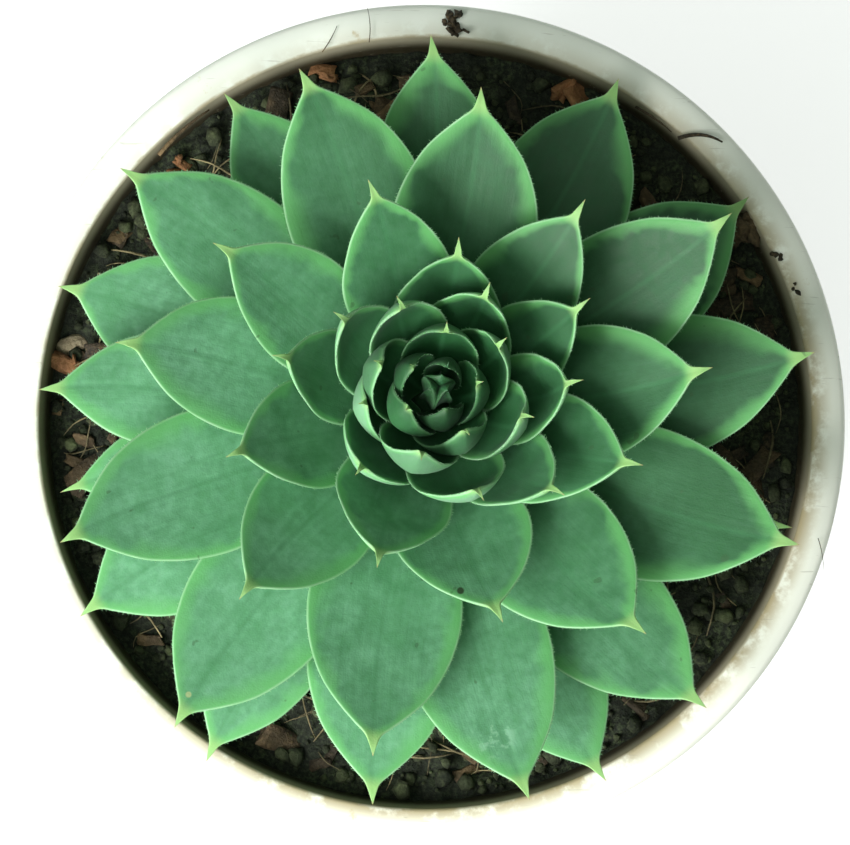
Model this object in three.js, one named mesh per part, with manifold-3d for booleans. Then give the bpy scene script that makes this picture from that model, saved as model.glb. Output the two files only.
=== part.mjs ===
// Potted houseleek: a rosette of fleshy pointed leaves on a short stem, rooted in the soil of a round
// plastic pot. Millimetres, +Z up, origin at the centre of the pot's foot.
import * as THREE from 'three';
import { mergeVertices } from 'three/addons/utils/BufferGeometryUtils.js';
import Module from 'manifold-3d';

const wasm = await Module();
wasm.setup();

// ---- Driving dimensions ----

// Pieces that touch in the real plant keep this gap.
const GAP = 0.3;

// Pot
const POT_HEIGHT = 100;
const RIM_DIAMETER = 120;
const LIP_WIDTH = 4.9;
const LIP_THICKNESS = 1.6;
const SKIRT_DEPTH = 9;
const SKIRT_THICKNESS = 1.3;
const WALL = 1.8;
const BASE_DIAMETER = 92;
const FLOOR_THICKNESS = 2.2;
const FOOT_HEIGHT = 2.5;
const FOOT_WIDTH = 3;
const EDGE_RADIUS = 0.7;
const DRAIN_HOLE_DIAMETER = 7;
const DRAIN_HOLE_COUNT = 6;
const DRAIN_CIRCLE_DIAMETER = 52;

// Soil
const SOIL_DROP = 6;
const SOIL_MOUND = 1.5;
const SHOULDER_DROP = 0.4;

// Stem: root, neck and a domed crown that carries the leaves
const ROOT_DEPTH = 22;
const ROOT_RADIUS = 4;
const ROOT_TIP_RADIUS = 2.4;
const NECK_HEIGHT = 1;
const CROWN_RADIUS = 7;
const CROWN_TIP_RADIUS = 0.6;
const DOME_FULLNESS = 0.75;
const DOME_STEPS = 10;
const RIM_CLEARANCE = 2;
const LEAN_ANGLE = 8;
const LEAN_HEADING = 60;
const STEM_OFFSET_X = -1.1;
const STEM_OFFSET_Y = -0.5;

// Leaves: each one stands up the stem from the one before it by this share of an old leaf's thickness
const LEAF_SPACING = 0.1375;
const OUTER_LEAF_THICKNESS = 2.4;
const INNER_LEAF_THICKNESS = 1;
const LEAF_CLASP_ANGLE = 25;
const OUTER_BASE_PITCH = 4;
const OUTER_TIP_PITCH = 8;
const INNER_BASE_PITCH = 42;
const INNER_TIP_PITCH = 110;
// Above 1, the young leaves' pitch comes on late, near the top of the stem.
const BASE_PITCH_DELAY = 1.2;
const TIP_PITCH_DELAY = 1.5;
// The tip swings round this far past the body of the leaf.
const TIP_TURN = 3;

// The leaves in the order they grew, lowest first: the heading of each one in degrees, from +X
// towards +Y, its length along the midrib and its greatest width. Most stand about 138 degrees on
// from the one before, as a rosette's leaves do, give or take a few degrees.
const LEAVES = [
  [192, 45.5, 13], [34, 49, 20.5], [238, 51, 18], [161, 48, 20], [296, 51, 19.5], [60, 48, 21.5],
  [211, 50, 20], [342, 47.5, 16], [123, 46.5, 17.5], [262, 50, 22], [178, 48.5, 18], [312, 51.5, 21],
  [90, 46, 19], [232, 52.5, 22], [7, 48.5, 21.5], [144, 49, 19], [283, 53, 22], [202, 51.5, 21.5],
  [337, 50.5, 23], [113, 45, 21.5], [260, 48, 23], [31, 44.5, 20.5], [172, 42, 20], [310, 42, 22],
  [82, 40, 22], [227, 38.5, 19], [4, 36.5, 21], [148, 36, 17], [285, 33, 21], [52, 32.5, 17],
  [199, 31.5, 17], [338, 31, 18], [110, 31.5, 17], [251, 29, 18.5], [30, 26, 14.5], [171, 26.5, 14],
  [317, 27, 15], [83, 24, 17], [227, 20, 15], [0, 25, 14], [148, 23.5, 14], [288, 25, 15],
  [64, 21.5, 15], [193, 16, 13], [337, 21.5, 14], [120, 21.5, 13.5], [255, 20.5, 13], [33, 19, 13.5],
  [166, 19, 13], [296, 17, 12], [86, 17, 13], [218, 13.5, 12], [0, 14, 12], [150, 13, 11],
  [285, 11.5, 10], [69, 11, 9.5],
];

// Stations along a leaf's blade, from the foot to where the spine starts: the share of the blade's
// length, the half width of an old leaf and of a young one as shares of the greatest half width, and
// the share of the greatest thickness. Old leaves are ovate and young ones are pointed. The first
// station has no width of its own, because it clasps the stem.
const STATIONS = [
  [0.02, 0, 0, 0.5], [0.21, 0.48, 0.75, 0.8], [0.42, 0.8, 0.98, 1], [0.63, 1, 0.88, 0.95],
  [0.78, 0.88, 0.66, 0.8], [0.86, 0.71, 0.48, 0.66], [0.925, 0.46, 0.3, 0.5],
  [0.97, 0.25, 0.18, 0.35], [1, 0.11, 0.1, 0.22],
];
// A leaf's cross-section, walked round from one margin under the belly to the other and back over
// the upper face: the share of the half width sideways, and the shares of the thickness outwards in
// an old leaf, which is flat above, and in a young one, which is folded into a keel.
const SECTION = [
  [1, 0, 0], [0.78, 0.5, 0.5], [0, 1.08, 1.4], [-0.78, 0.5, 0.5],
  [-1, 0, 0], [-0.75, -0.06, 0], [0, 0.08, 0.4], [0.75, -0.06, 0],
];

// Spine: a soft bristle at the tip, which bends outwards until it is nearly level
const SPINE_LENGTH = 3.2;
const SPINE_SHARE = 0.14;
const SPINE_TAPER = 0.42;
const OUTER_SPINE_PITCH = -4;
const INNER_SPINE_PITCH = 8;

// Bud: the three youngest leaves, still closed round each other at the growing point
const BUD_LENGTH = 9;
const BUD_RADIUS = 2.3;
const BUD_LOBES = 3;
const BUD_LOBE_DEPTH = 0.12;
// Girth at the foot and at the tip, as shares of the girth half way up
const BUD_FOOT_GIRTH = 1.3;
const BUD_TIP_GIRTH = 0.7;

const ROUND_SEGMENTS = 48;
const ARC_STEPS = 3;

// ---- Places worked out from the dimensions ----

const radians = THREE.MathUtils.degToRad;
const rimRadius = RIM_DIAMETER / 2;
const openingRadius = rimRadius - LIP_WIDTH;
const baseRadius = BASE_DIAMETER / 2;
const floorTop = FOOT_HEIGHT + FLOOR_THICKNESS;
const soilTop = POT_HEIGHT - SOIL_DROP;
const crownHeight = LEAF_SPACING * OUTER_LEAF_THICKNESS * LEAVES.length;
const lowestRise = LEAVES[0][1] * Math.sin(radians((OUTER_BASE_PITCH + OUTER_TIP_PITCH) / 2));
const crownBase = POT_HEIGHT + RIM_CLEARANCE - lowestRise;
const crownTop = crownBase + crownHeight;

const plastic = new THREE.MeshStandardMaterial({ color: 0xeef2e8, roughness: 0.45, metalness: 0 });
const peat = new THREE.MeshStandardMaterial({ color: 0x3a2c1e, roughness: 1, metalness: 0 });
const stemSkin = new THREE.MeshStandardMaterial({ color: 0x8b7a52, roughness: 0.9, metalness: 0 });
const leafSkin = new THREE.MeshStandardMaterial({ color: 0x5fa577, roughness: 0.6, metalness: 0 });

const object = new THREE.Group();

function addPiece(name, geometry, material) {
  const piece = new THREE.Mesh(geometry, material);
  piece.name = name;
  object.add(piece);
}

// A geometry with its shared vertices joined, so that it is one closed surface.
function closed(geometry) {
  geometry.deleteAttribute('normal');
  geometry.deleteAttribute('uv');
  return mergeVertices(geometry);
}

function solidOf(geometry) {
  const surface = closed(geometry);
  const vertProperties = new Float32Array(surface.attributes.position.array);
  const triVerts = new Uint32Array(surface.index.array);
  return new wasm.Manifold(new wasm.Mesh({ numProp: 3, vertProperties, triVerts }));
}

function geometryOf(solid) {
  const mesh = solid.getMesh();
  const geometry = new THREE.BufferGeometry();
  geometry.setAttribute('position', new THREE.BufferAttribute(mesh.vertProperties, 3));
  geometry.setIndex(new THREE.BufferAttribute(mesh.triVerts, 1));
  return geometry;
}

// A solid turned about +Z from a profile of [radius, height] points.
function turned(profile, segments = ROUND_SEGMENTS) {
  const points = profile.map(([radius, height]) => new THREE.Vector2(radius, height));
  return new THREE.LatheGeometry(points, segments).rotateX(Math.PI / 2);
}

function uprightCylinder(radius, bottom, top) {
  const cylinder = new THREE.CylinderGeometry(radius, radius, top - bottom, ROUND_SEGMENTS / 2);
  return cylinder.rotateX(Math.PI / 2).translate(0, 0, (bottom + top) / 2);
}

// Points of a quarter round that turns from one angle to another about a centre.
function quarterRound(centreRadius, centreHeight, radius, from, to) {
  const points = [];
  for (let step = 0; step <= ARC_STEPS; step += 1) {
    const angle = radians(from + ((to - from) * step) / ARC_STEPS);
    points.push([centreRadius + radius * Math.cos(angle), centreHeight + radius * Math.sin(angle)]);
  }
  return points;
}

// ---- Pot ----

// A tapered wall on a foot ring, with a rim that turns out and down into a short skirt.
function potWallRadius(height) {
  const share = (height - floorTop) / (POT_HEIGHT - floorTop);
  return THREE.MathUtils.lerp(baseRadius - WALL, openingRadius, share);
}

function potGeometry() {
  const underLip = POT_HEIGHT - LIP_THICKNESS;
  const skirtInside = rimRadius - SKIRT_THICKNESS;
  const skirtFoot = POT_HEIGHT - SKIRT_DEPTH;
  const profile = [
    [0, FOOT_HEIGHT],
    [baseRadius - FOOT_WIDTH, FOOT_HEIGHT],
    [baseRadius - FOOT_WIDTH, 0],
    ...quarterRound(baseRadius - EDGE_RADIUS, EDGE_RADIUS, EDGE_RADIUS, -90, 0),
    [baseRadius, floorTop],
    [potWallRadius(underLip) + WALL, underLip],
    [skirtInside, underLip],
    [skirtInside, skirtFoot],
    [rimRadius, skirtFoot],
    ...quarterRound(rimRadius - EDGE_RADIUS, POT_HEIGHT - EDGE_RADIUS, EDGE_RADIUS, 0, 90),
    ...quarterRound(openingRadius + EDGE_RADIUS, POT_HEIGHT - EDGE_RADIUS, EDGE_RADIUS, 90, 180),
    [potWallRadius(floorTop), floorTop],
    [0, floorTop],
  ];
  let pot = solidOf(turned(profile));
  const drill = () => uprightCylinder(DRAIN_HOLE_DIAMETER / 2, 0, floorTop + WALL);
  pot = pot.subtract(solidOf(drill()));
  for (let hole = 0; hole < DRAIN_HOLE_COUNT; hole += 1) {
    const angle = (hole * 2 * Math.PI) / DRAIN_HOLE_COUNT;
    const reach = DRAIN_CIRCLE_DIAMETER / 2;
    const place = drill().translate(reach * Math.cos(angle), reach * Math.sin(angle), 0);
    pot = pot.subtract(solidOf(place));
  }
  return geometryOf(pot);
}

// ---- Plant frame ----

// The plant leans: each level is shifted sideways in step with its height above the soil.
function planted(geometry) {
  const drift = Math.tan(radians(LEAN_ANGLE));
  const alongX = drift * Math.cos(radians(LEAN_HEADING));
  const alongY = drift * Math.sin(radians(LEAN_HEADING));
  const lean = new THREE.Matrix4().makeShear(0, 0, 0, 0, alongX, alongY);
  geometry.translate(0, 0, -soilTop);
  geometry.applyMatrix4(lean);
  return geometry.translate(STEM_OFFSET_X, STEM_OFFSET_Y, soilTop);
}

// The crown narrows as a dome from the lowest leaf, level 0, to the growing point, level 1.
function crownRadius(level) {
  const dome = Math.cos((level * Math.PI) / 2) ** DOME_FULLNESS;
  return CROWN_TIP_RADIUS + (CROWN_RADIUS - CROWN_TIP_RADIUS) * dome;
}

// ---- Soil ----

// Fills the pot to just below the rim, a little mounded, with a socket that the root sits in.
function soilGeometry() {
  const bottom = floorTop + GAP;
  const edgeTop = soilTop - SOIL_MOUND;
  const profile = [
    [0, bottom],
    [potWallRadius(bottom) - GAP, bottom],
    [potWallRadius(edgeTop) - GAP, edgeTop],
    [openingRadius / 2, soilTop - SHOULDER_DROP],
    [0, soilTop],
  ];
  const socketTop = soilTop + NECK_HEIGHT;
  const rootSpace = uprightCylinder(ROOT_RADIUS + GAP, soilTop - ROOT_DEPTH - GAP, socketTop);
  return geometryOf(solidOf(turned(profile)).subtract(solidOf(planted(rootSpace))));
}

// ---- Stem ----

// A root in the soil, a neck that swells above it and the domed crown.
function stemGeometry() {
  const profile = [
    [0, soilTop - ROOT_DEPTH],
    [ROOT_TIP_RADIUS, soilTop - ROOT_DEPTH],
    [ROOT_RADIUS, soilTop - ROOT_DEPTH / 2],
    [ROOT_RADIUS, soilTop + NECK_HEIGHT],
    [CROWN_RADIUS, crownBase - NECK_HEIGHT],
  ];
  for (let step = 0; step <= DOME_STEPS; step += 1) {
    const level = step / DOME_STEPS;
    profile.push([crownRadius(level), crownBase + level * crownHeight]);
  }
  profile.push([0, crownTop]);
  return planted(closed(turned(profile, ROUND_SEGMENTS / 2)));
}

// ---- Leaves ----

// How far an arc has gone outwards and up at a distance along it, as its pitch turns evenly.
function arcPoint(fromPitch, toPitch, length, distance) {
  const pitch = THREE.MathUtils.lerp(fromPitch, toPitch, distance / length);
  const bend = length / (toPitch - fromPitch);
  const reach = bend * (Math.sin(pitch) - Math.sin(fromPitch));
  const height = bend * (Math.cos(fromPitch) - Math.cos(pitch));
  return { pitch, reach, height };
}

// The midrib at a distance from the foot: the blade steepens from its base pitch to its tip pitch,
// and the spine bends back outwards from there.
function midrib(leaf, distance) {
  const onBlade = Math.min(distance, leaf.blade);
  const blade = arcPoint(leaf.basePitch, leaf.tipPitch, leaf.blade, onBlade);
  const spine = arcPoint(leaf.tipPitch, leaf.spinePitch, leaf.spine, distance - onBlade);
  return {
    pitch: distance > leaf.blade ? spine.pitch : blade.pitch,
    reach: leaf.baseReach + blade.reach + spine.reach,
    height: leaf.baseHeight + blade.height + spine.height,
  };
}

// The rings of a leaf from its foot to its tip: the distance, the half width and the thickness.
function leafRings(leaf) {
  const clasp = leaf.baseReach * radians(LEAF_CLASP_ANGLE);
  const rings = STATIONS.map(([along, oldWidth, youngWidth, depth], index) => {
    const share = THREE.MathUtils.lerp(oldWidth, youngWidth, leaf.level);
    const halfWidth = index === 0 ? clasp : (share * leaf.width) / 2;
    return { distance: along * leaf.blade, halfWidth, thickness: depth * leaf.thickness };
  });
  const last = rings[rings.length - 1];
  const spineMiddle = {
    distance: leaf.blade + leaf.spine / 2,
    halfWidth: last.halfWidth * SPINE_TAPER,
    thickness: last.thickness * SPINE_TAPER,
  };
  const foot = { distance: 0, halfWidth: 0, thickness: 0 };
  const tip = { distance: leaf.blade + leaf.spine, halfWidth: 0, thickness: 0 };
  return [foot, ...rings, spineMiddle, tip];
}

// A leaf is a ball drawn out along its midrib. It is curved about the stem like part of a bowl, so
// that the leaves nest one inside the other.
function leafGeometry(leaf) {
  const rings = leafRings(leaf);
  const ball = new THREE.SphereGeometry(1, SECTION.length, rings.length - 1);
  const vertices = ball.attributes.position;
  const columns = SECTION.length + 1;
  for (let index = 0; index < vertices.count; index += 1) {
    const { distance, halfWidth, thickness } = rings[Math.floor(index / columns)];
    const [sideways, oldDepth, youngDepth] = SECTION[(index % columns) % SECTION.length];
    const outwards = THREE.MathUtils.lerp(oldDepth, youngDepth, leaf.level);
    const centre = midrib(leaf, distance);
    const bowl = Math.max(centre.reach, leaf.width / 2);
    const along = distance / (leaf.blade + leaf.spine);
    const turn = radians(TIP_TURN) * (along ** 3 - 1);
    const heading = leaf.heading + turn + (sideways * halfWidth) / bowl;
    const reach = centre.reach + outwards * thickness * Math.sin(centre.pitch);
    const height = centre.height - outwards * thickness * Math.cos(centre.pitch);
    vertices.setXYZ(index, reach * Math.cos(heading), reach * Math.sin(heading), height);
  }
  return closed(ball);
}

// Young leaves stand steeper and curl in further than old ones.
function grownLeaf([heading, length, width], index) {
  const level = index / (LEAVES.length - 1);
  const { lerp } = THREE.MathUtils;
  const spine = Math.min(SPINE_LENGTH, SPINE_SHARE * length);
  return {
    level,
    heading: radians(heading),
    width,
    spine,
    blade: length - spine,
    thickness: lerp(OUTER_LEAF_THICKNESS, INNER_LEAF_THICKNESS, level),
    basePitch: radians(lerp(OUTER_BASE_PITCH, INNER_BASE_PITCH, level ** BASE_PITCH_DELAY)),
    tipPitch: radians(lerp(OUTER_TIP_PITCH, INNER_TIP_PITCH, level ** TIP_PITCH_DELAY)),
    spinePitch: radians(lerp(OUTER_SPINE_PITCH, INNER_SPINE_PITCH, level)),
    baseReach: crownRadius(level) + GAP,
    baseHeight: crownBase + level * crownHeight,
  };
}

// A slender drop, widest a third of the way up, lobed where its three leaves wrap each other.
function budGeometry() {
  const bud = new THREE.SphereGeometry(1, BUD_LOBES * 4, 8).rotateX(Math.PI / 2);
  const vertices = bud.attributes.position;
  for (let index = 0; index < vertices.count; index += 1) {
    const [x, y, z] = [vertices.getX(index), vertices.getY(index), vertices.getZ(index)];
    const lobe = 1 + BUD_LOBE_DEPTH * Math.cos(BUD_LOBES * Math.atan2(y, x));
    const along = (1 + z) / 2;
    const girth = BUD_RADIUS * lobe * THREE.MathUtils.lerp(BUD_FOOT_GIRTH, BUD_TIP_GIRTH, along);
    vertices.setXYZ(index, x * girth, y * girth, crownTop + GAP + BUD_LENGTH * along);
  }
  return closed(bud);
}

// ---- Assembly ----

addPiece('pot', potGeometry(), plastic);
addPiece('soil', soilGeometry(), peat);
addPiece('stem', stemGeometry(), stemSkin);
LEAVES.forEach((row, index) => {
  const number = String(index + 1).padStart(2, '0');
  addPiece(`leaf_${number}`, planted(leafGeometry(grownLeaf(row, index))), leafSkin);
});
addPiece('bud', planted(budGeometry()), leafSkin);

export default object;
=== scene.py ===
import math
import random

import bmesh
import bpy
import numpy as np
from mathutils import Matrix, Vector, noise


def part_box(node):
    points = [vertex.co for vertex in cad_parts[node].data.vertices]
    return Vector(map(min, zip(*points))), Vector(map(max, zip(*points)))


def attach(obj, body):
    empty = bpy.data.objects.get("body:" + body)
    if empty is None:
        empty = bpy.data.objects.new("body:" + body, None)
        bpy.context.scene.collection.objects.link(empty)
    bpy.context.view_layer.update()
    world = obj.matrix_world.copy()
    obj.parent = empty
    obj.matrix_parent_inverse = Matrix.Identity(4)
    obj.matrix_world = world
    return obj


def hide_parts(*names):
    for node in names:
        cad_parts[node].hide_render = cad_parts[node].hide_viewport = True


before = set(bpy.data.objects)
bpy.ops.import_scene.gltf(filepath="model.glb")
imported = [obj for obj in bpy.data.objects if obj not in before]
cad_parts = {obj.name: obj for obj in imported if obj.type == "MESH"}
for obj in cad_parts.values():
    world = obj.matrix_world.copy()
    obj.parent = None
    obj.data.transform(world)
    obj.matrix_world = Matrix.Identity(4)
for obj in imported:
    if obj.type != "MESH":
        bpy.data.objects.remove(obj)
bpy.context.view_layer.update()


# ---- Pot ----
# A moulded nursery pot of thin white plastic: a tapered wall on a foot ring, and a rim that turns out
# and down into a short skirt. Peat water has stained the mouth, and handling has scratched the rim.

pot_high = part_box("pot")[1]
POT_HEIGHT = pot_high.z
RIM_RADIUS = pot_high.x
LIP_WIDTH = 0.0049
LIP_THICKNESS = 0.0016
LIP_CROWN = 0.0002
SKIRT_DEPTH = 0.009
SKIRT_THICKNESS = 0.0013
WALL = 0.0018
FOOT_RADIUS = 0.046
FOOT_WIDTH = 0.003
FOOT_HEIGHT = 0.0025
FLOOR_TOP = 0.0047
EDGE_RADIUS = 0.0007
RIM_OUTER_ROUND = 0.0012
RIM_INNER_ROUND = 0.0008
SKIRT_CORNER = 0.0008
SKIRT_EDGE_ROUND = 0.0006
WALL_CORNER = 0.001
FLOOR_CORNER = 0.002
POT_STEPS = 256
DRAIN_HOLES = 6
DRAIN_RADIUS = 0.0035
DRAIN_CIRCLE = 0.026
MOUTH_RADIUS = RIM_RADIUS - LIP_WIDTH


def arc(radius, height, bend, start, end, steps=5):
    """Profile points of a round edge about (radius, height), from one angle to another."""
    angles = [math.radians(start + (end - start) * step / steps) for step in range(steps + 1)]
    return [(radius + bend * math.cos(a), height + bend * math.sin(a)) for a in angles]


def wall_inside(height):
    """The pot's inner radius at a height."""
    share = (height - FLOOR_TOP) / (POT_HEIGHT - FLOOR_TOP)
    return FOOT_RADIUS - WALL + (MOUTH_RADIUS - FOOT_RADIUS + WALL) * share


def spun(profile, steps):
    """A bmesh turned about the upright axis from (radius, height) points."""
    bm = bmesh.new()
    line = [bm.verts.new((radius, 0, height)) for radius, height in profile]
    edges = [bm.edges.new(pair) for pair in zip(line, line[1:])]
    bmesh.ops.spin(
        bm, geom=line + edges, cent=(0, 0, 0), axis=(0, 0, 1), angle=math.tau, steps=steps, use_merge=True
    )
    bmesh.ops.remove_doubles(bm, verts=bm.verts, dist=1e-6)
    bmesh.ops.recalc_face_normals(bm, faces=bm.faces)
    return bm


def made(name, bm, material, slot, *nodes):
    """Finishes a bmesh as a smooth piece of the plant, which stands for the named CAD nodes."""
    mesh = bpy.data.meshes.new(name)
    for face in bm.faces:
        face.smooth = True
    bm.to_mesh(mesh)
    bm.free()
    mesh.materials.append(material)
    piece = bpy.data.objects.new(name, mesh)
    bpy.context.scene.collection.objects.link(piece)
    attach(piece, "root")
    if nodes:
        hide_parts(*nodes)
    return piece


def new_material(name):
    """A node material, its node tree and its shader."""
    material = bpy.data.materials.new(name)
    material.use_nodes = True
    return material, material.node_tree, material.node_tree.nodes["Principled BSDF"]


def node(tree, kind, inputs=(), **settings):
    """Adds a shader node. Each input is a plain value or the socket that feeds it."""
    made_node = tree.nodes.new(kind)
    for key, value in settings.items():
        setattr(made_node, key, value)
    for key, value in dict(inputs).items():
        socket = made_node.inputs[key]
        if isinstance(value, bpy.types.NodeSocket):
            tree.links.new(value, socket)
        else:
            socket.default_value = value
    return made_node


def maths(tree, operation, first, second=0.0, clamp=False):
    inputs = {0: first, 1: second}
    return node(tree, "ShaderNodeMath", inputs, operation=operation, use_clamp=clamp).outputs[0]


def product(tree, first, second, clamp=False):
    return maths(tree, "MULTIPLY", first, second, clamp)


def ramp(tree, value, low, high, to_low=0.0, to_high=1.0):
    """Takes a value from one range to another, smoothly, and holds it at the ends."""
    inputs = {"Value": value, "From Min": low, "From Max": high, "To Min": to_low, "To Max": to_high}
    return node(tree, "ShaderNodeMapRange", inputs, interpolation_type="SMOOTHSTEP").outputs["Result"]


def mix(tree, share, first, second, blend="MIX"):
    """Mixes two colours."""
    mixer = node(tree, "ShaderNodeMix", data_type="RGBA", blend_type=blend)
    for key, value in {0: share, 6: first, 7: second}.items():
        if isinstance(value, bpy.types.NodeSocket):
            tree.links.new(value, mixer.inputs[key])
        else:
            mixer.inputs[key].default_value = value
    return mixer.outputs[2]


def speckle(tree, where, scale, detail=3.0, roughness=0.5, distortion=0.0):
    """Cloudy noise between 0 and 1."""
    inputs = {"Vector": where, "Scale": scale, "Detail": detail}
    inputs.update({"Roughness": roughness, "Distortion": distortion})
    return node(tree, "ShaderNodeTexNoise", inputs).outputs["Fac"]


def bumped(tree, shader, height, strength, distance):
    """Feeds a height to the shader as fine relief."""
    bump = node(tree, "ShaderNodeBump", {"Height": height, "Strength": strength, "Distance": distance})
    tree.links.new(bump.outputs["Normal"], shader.inputs["Normal"])


def pot_plastic():
    """White plastic: stained tan at the mouth, with painted shade that darkens it down the inside, greyer
    down the outside from dust and painted shade, and painted light on the rim's right side.
    """
    material, tree, shader = new_material("pot_plastic")
    place = node(tree, "ShaderNodeTexCoord").outputs["Object"]
    parts = node(tree, "ShaderNodeSeparateXYZ", {"Vector": place})
    across = product(tree, parts.outputs["X"], parts.outputs["X"])
    away = product(tree, parts.outputs["Y"], parts.outputs["Y"])
    radius = maths(tree, "SQRT", maths(tree, "ADD", across, away))
    clouds = speckle(tree, place, 60, 4)
    fine = speckle(tree, place, 900, 3)
    blotches = speckle(tree, place, 170, 5, 0.65)

    # Peat stain: tan at the mouth and on the inner wall, thinning out over the inner rim. Painted shade
    # darkens the inner wall towards the soil.
    depth_down = maths(tree, "SUBTRACT", POT_HEIGHT, parts.outputs["Z"])
    taper = (MOUTH_RADIUS - wall_inside(FLOOR_TOP)) / (POT_HEIGHT - FLOOR_TOP)
    wall_radius = maths(tree, "SUBTRACT", MOUTH_RADIUS, product(tree, depth_down, taper))
    inside = ramp(tree, maths(tree, "SUBTRACT", radius, wall_radius), 0.3 * WALL, 0.1 * WALL)
    on_lip = ramp(tree, depth_down, LIP_THICKNESS, 0.5 * LIP_THICKNESS)
    patchy = ramp(tree, blotches, 0.32, 0.52)
    # A mask that grows towards the right: it thickens the peat stain there, and paints light onto the rim.
    aside = maths(tree, "SUBTRACT", parts.outputs["X"], parts.outputs["Y"])
    toward_right = ramp(tree, aside, -0.06, 0.05, 0.3, 1.0)
    inward = product(tree, ramp(tree, radius, MOUTH_RADIUS + 0.0034, MOUTH_RADIUS), on_lip)
    tide = product(tree, product(tree, inward, patchy), toward_right)
    at_mouth = product(tree, ramp(tree, radius, MOUTH_RADIUS + 0.0009, MOUTH_RADIUS + 0.0001), on_lip)
    mouth_line = product(tree, at_mouth, ramp(tree, blotches, 0.35, 0.6, 0.15, 0.9))
    on_top = maths(tree, "MAXIMUM", tide, mouth_line)
    stain = maths(tree, "MAXIMUM", on_top, product(tree, inside, 0.8))
    # Painted shade: the inner wall goes near black brown with depth, down towards the soil.
    recess_shade = product(tree, ramp(tree, depth_down, 0.0012, 0.0062), inside)
    spots = product(tree, ramp(tree, blotches, 0.64, 0.72), ramp(tree, clouds, 0.45, 0.6))
    spots = product(tree, spots, ramp(tree, depth_down, 0.01, 0.001))

    white = mix(tree, clouds, (0.80, 0.85, 0.77, 1), (0.88, 0.92, 0.86, 1))
    # Painted light: the white is brightened and turned cream towards the right, where the window light is
    # weaker; the cream is partly peat stain.
    white = mix(tree, product(tree, toward_right, 0.8), white, (0.96, 0.96, 0.86, 1))
    # Below the lip the plastic goes greyer: partly dust, partly painted shade that keeps the lit walls from
    # glaring white.
    dust_and_painted_shade = mix(tree, blotches, (0.48, 0.50, 0.45, 1), (0.58, 0.61, 0.55, 1))
    white = mix(tree, ramp(tree, depth_down, 0.0015, 0.012), white, dust_and_painted_shade)
    stained = mix(tree, product(tree, stain, 0.85, clamp=True), white, (0.36, 0.27, 0.11, 1))
    spotted = mix(tree, product(tree, spots, 0.55), stained, (0.50, 0.38, 0.16, 1))
    # The painted shade of the inner wall.
    spotted = mix(tree, recess_shade, spotted, (0.045, 0.035, 0.015, 1))

    # Hairline scratches from handling.
    stretched = node(tree, "ShaderNodeMapping", {"Vector": place, "Scale": (1, 14, 4)}).outputs["Vector"]
    scratches = ramp(tree, speckle(tree, stretched, 160, 2, 0.5, 0.6), 0.69, 0.73)
    finished = mix(tree, product(tree, scratches, 0.35), spotted, (0.36, 0.33, 0.26, 1))
    tree.links.new(finished, shader.inputs["Base Color"])
    dull = maths(tree, "ADD", product(tree, stain, 0.3), ramp(tree, fine, 0.3, 0.7, 0.34, 0.46))
    tree.links.new(dull, shader.inputs["Roughness"])
    height = maths(tree, "SUBTRACT", product(tree, clouds, 0.5), scratches)
    bumped(tree, shader, height, 0.25, 0.0002)
    shader.inputs["Subsurface Weight"].default_value = 0.15
    shader.inputs["Subsurface Radius"].default_value = (0.004, 0.004, 0.004)
    return material


def pot_shell():
    """The whole moulding, turned from the middle of its underside, over the rim, to the floor inside."""
    under_lip = POT_HEIGHT - LIP_THICKNESS
    lip_middle = (RIM_RADIUS + MOUTH_RADIUS) / 2
    skirt_inside = RIM_RADIUS - SKIRT_THICKNESS
    skirt_middle = RIM_RADIUS - 0.5 * SKIRT_THICKNESS
    skirt_bottom = POT_HEIGHT - SKIRT_DEPTH
    outer_round = RIM_OUTER_ROUND
    inner_round = RIM_INNER_ROUND
    profile = [
        (0, FOOT_HEIGHT),
        (FOOT_RADIUS - FOOT_WIDTH - EDGE_RADIUS, FOOT_HEIGHT),
        *arc(FOOT_RADIUS - FOOT_WIDTH + EDGE_RADIUS, EDGE_RADIUS, EDGE_RADIUS, 180, 270),
        *arc(FOOT_RADIUS - EDGE_RADIUS, EDGE_RADIUS, EDGE_RADIUS, -90, 0),
        (FOOT_RADIUS, FLOOR_TOP),
        (wall_inside(under_lip - 2 * WALL_CORNER) + WALL, under_lip - 2 * WALL_CORNER),
        *arc(wall_inside(under_lip) + WALL + WALL_CORNER, under_lip - WALL_CORNER, WALL_CORNER, 180, 90),
        *arc(skirt_inside - SKIRT_CORNER, under_lip - SKIRT_CORNER, SKIRT_CORNER, 90, 0),
        (skirt_inside, skirt_bottom + 0.5 * SKIRT_EDGE_ROUND),
        *arc(skirt_middle, skirt_bottom + SKIRT_EDGE_ROUND, SKIRT_EDGE_ROUND, 180, 360),
        *arc(RIM_RADIUS - outer_round, POT_HEIGHT - outer_round - LIP_CROWN, outer_round, 0, 75),
        (lip_middle, POT_HEIGHT),
        *arc(MOUTH_RADIUS + inner_round, POT_HEIGHT - inner_round - LIP_CROWN, inner_round, 105, 180),
        (wall_inside(0.8 * POT_HEIGHT), 0.8 * POT_HEIGHT),
        (wall_inside(0.3 * POT_HEIGHT), 0.3 * POT_HEIGHT),
        *arc(wall_inside(FLOOR_TOP) - FLOOR_CORNER, FLOOR_TOP + FLOOR_CORNER, FLOOR_CORNER, 0, -90),
        (0, FLOOR_TOP),
    ]
    return spun(profile, POT_STEPS)


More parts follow.
